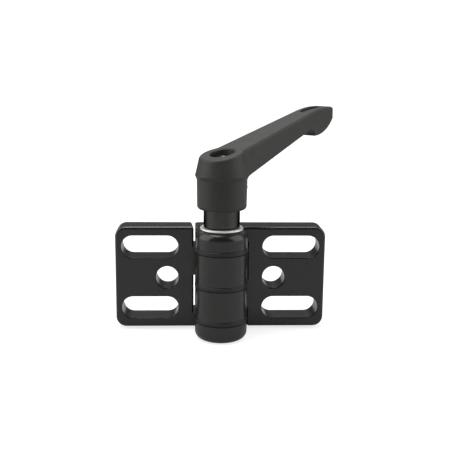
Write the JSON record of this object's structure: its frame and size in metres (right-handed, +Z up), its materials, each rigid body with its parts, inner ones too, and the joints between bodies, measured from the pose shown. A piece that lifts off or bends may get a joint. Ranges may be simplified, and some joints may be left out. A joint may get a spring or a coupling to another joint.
{
  "type": "profile pivot joint",
  "caption": "Locking pivot joint for slotted framing profiles: two slotted leaves on one pivot bolt, with friction discs and an adjustable clamping lever.",
  "frame": {"origin": "centre of the rectangle of four slots, on the mounting plane at the back of the leaves", "axes": "+X to the right leaf, +Y out of the mounting plane into the profiles behind, +Z up along the pivot, towards the lever"},
  "size_m": [0.0848, 0.059, 0.0813],
  "materials": {
    "leaf_coating": "semi-gloss black powder coat on cast metal",
    "disc_plastic": "matte black acetal",
    "bush_plastic": "natural acetal",
    "washer_zinc": "bright zinc plate",
    "dark_steel": "black oxide, slightly oily",
    "spring_steel": "drawn spring wire",
    "lever_coating": "fine-textured matte black powder coat on die-cast zinc"
  },
  "bodies": {
    "fixed_leaf": {"left_leaf": "leaf_coating", "pivot_bolt": "dark_steel", "upper_knuckle_bush": "bush_plastic", "upper_friction_disc": "disc_plastic", "middle_friction_disc": "disc_plastic", "lower_friction_disc": "disc_plastic", "top_washer": "washer_zinc"},
    "swing_leaf": {"right_leaf": "leaf_coating", "top_knuckle_bush": "bush_plastic", "lower_knuckle_bush": "bush_plastic"},
    "clamp": {"lever_insert": "dark_steel", "retaining_screw": "dark_steel", "lever_spring": "spring_steel"},
    "lever": {"clamp_lever": "lever_coating"}
  },
  "joints": [
    {"name": "leaf_fold", "type": "hinge", "parent": "fixed_leaf", "child": "swing_leaf", "pos_m": [0, -0.018, 0], "axis": [0, 0, -1], "range_deg": [-3, 180]},
    {"name": "lever_turn", "type": "hinge", "parent": "fixed_leaf", "child": "clamp", "pos_m": [0, -0.018, 0.024], "axis": [0, 0, 1], "range_deg": [0, 270]},
    {"name": "lever_lift", "type": "slide", "parent": "clamp", "child": "lever", "axis": [0, 0, 1], "range_m": [0, 0.0038], "stiffness_N_per_m": 1500, "springref_m": -0.003, "deforming": ["lever_spring"]}
  ]
}
